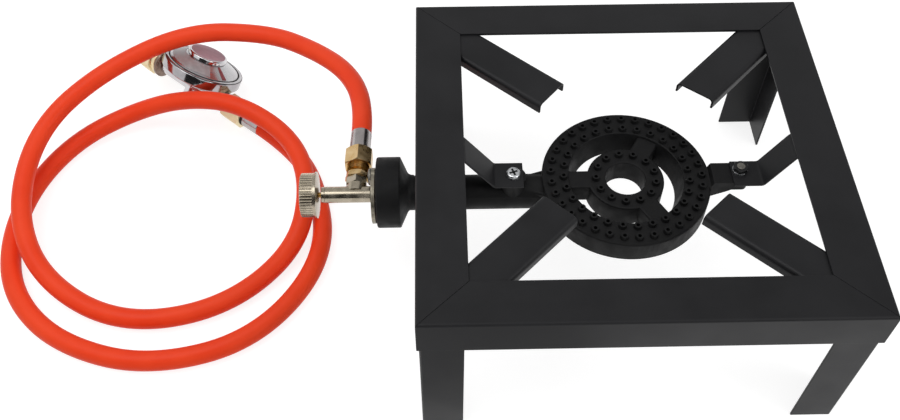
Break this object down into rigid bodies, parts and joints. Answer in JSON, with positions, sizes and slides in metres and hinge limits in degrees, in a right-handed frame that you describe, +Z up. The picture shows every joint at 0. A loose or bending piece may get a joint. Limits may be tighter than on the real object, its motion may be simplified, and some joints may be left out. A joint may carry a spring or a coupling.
{
  "type": "propane burner stand",
  "caption": "Low black steel pot stand with a cast ring gas burner, brass and nickel tap with air shutter, and a coiled orange hose ending in a chrome low pressure regulator.",
  "frame": {"origin": "on the floor, at the middle of the stand with its burner and tap, hose and regulator left out", "axes": "+X along the stand's long side away from the tap, +Y to the back, where the hose leaves the tap, +Z up"},
  "size_m": [0.6449, 0.3792, 0.14],
  "materials": {
    "powder_coat": "satin black powder coat",
    "cast_iron": "matt black, as cast",
    "zinc": "bright zinc plated",
    "nickel": "satin nickel plated brass",
    "brass": "machined, slightly dull",
    "chrome": "polished chrome plated zinc casting",
    "bare_steel": "pressed bright steel",
    "hose_rubber": "smooth orange-red gas hose",
    "black_rubber": "matt black rubber",
    "silver_label": "matt silver label film, plain",
    "mauve_sticker": "plain mauve sticker",
    "red_seal": "glossy red seal paint"
  },
  "bodies": {
    "stand": {"top_bar_front": "powder_coat", "top_bar_back": "powder_coat", "top_bar_left": "powder_coat", "top_bar_right": "powder_coat", "leg_front_left": "powder_coat", "leg_front_right": "powder_coat", "leg_back_left": "powder_coat", "leg_back_right": "powder_coat", "pot_arm_back_left": "powder_coat", "pot_arm_back_right": "powder_coat", "pot_arm_front_left": "powder_coat", "pot_arm_front_right": "powder_coat", "strap_left": "powder_coat", "strap_right": "powder_coat", "burner_casting": "cast_iron", "strap_screw_left": "zinc", "strap_bolt_right": "zinc", "spring_washer_right": "zinc", "strap_nut_right": "zinc", "shutter_screw": "zinc", "lever_pin": "zinc", "regulator_spring": "zinc", "valve_body": "nickel", "packing_nut": "nickel", "injector_jet": "brass", "hose_adaptor": "brass", "union_nut_tap": "brass", "hose_tail_tap": "brass", "union_nut_regulator": "brass", "hose_tail_regulator": "brass", "adjusting_screw": "brass", "regulator_body": "chrome", "base_plug": "chrome", "regulator_cover": "chrome", "crimp_ring": "chrome", "regulator_cap": "chrome", "inlet_nipple": "chrome", "ferrule_tap": "bare_steel", "ferrule_regulator": "bare_steel", "hose": "hose_rubber", "packing_ring": "black_rubber", "diaphragm": "black_rubber", "inlet_washer": "black_rubber", "seal_ring_regulator": "black_rubber", "label_band": "silver_label", "cap_sticker": "mauve_sticker", "seal_mark": "red_seal"},
    "shutter": {"shutter_plate": "nickel"},
    "plug": {"valve_plug": "brass"},
    "knob": {"valve_spindle": "brass", "knob": "nickel", "knob_screw": "zinc"},
    "cylinder_nut": {"inlet_nut": "brass"},
    "diaphragm_centre": {"diaphragm_plate": "zinc"},
    "lever": {"valve_lever": "zinc"},
    "poppet": {"poppet": "zinc"}
  },
  "joints": [
    {"name": "shutter_swing", "type": "hinge", "parent": "stand", "child": "shutter", "pos_m": [-0.1404, 0.00617, 0.09883], "axis": [1, 0, 0], "range_deg": [-20, 20]},
    {"name": "spindle_travel", "type": "slide", "parent": "stand", "child": "plug", "axis": [-1, 0, 0], "range_m": [0, 0.0015]},
    {"name": "knob_turn", "type": "hinge", "parent": "plug", "child": "knob", "pos_m": [-0.187, 0, 0.0856], "axis": [-1, 0, 0], "range_deg": [0, 540]},
    {"name": "inlet_nut_turn", "type": "hinge", "parent": "stand", "child": "cylinder_nut", "pos_m": [-0.35204, 0.21376, 0.02617], "axis": [-0.7911, 0.6005, 0.1167], "continuous": true},
    {"name": "diaphragm_travel", "type": "slide", "parent": "stand", "child": "diaphragm_centre", "axis": [0.4328, 0.4147, 0.8004], "range_m": [0, 0.0009], "stiffness_N_per_m": 800, "springref_m": -0.002, "deforming": ["diaphragm", "regulator_spring"]},
    {"name": "lever_tilt", "type": "hinge", "parent": "stand", "child": "lever", "pos_m": [-0.3004, 0.17902, 0.02374], "axis": [0.4322, 0.6837, -0.588], "range_deg": [0, 5.16]},
    {"name": "poppet_slide", "type": "slide", "parent": "stand", "child": "poppet", "axis": [-0.7911, 0.6005, 0.1167], "range_m": [0, 0.00046]}
  ],
  "couplings": [
    {"joint": "spindle_travel", "follows": "knob_turn", "m_per_rad": 0.00015915},
    {"joint": "lever_tilt", "follows": "diaphragm_travel", "rad_per_m": 100},
    {"joint": "poppet_slide", "follows": "diaphragm_travel", "ratio": 0.5}
  ]
}
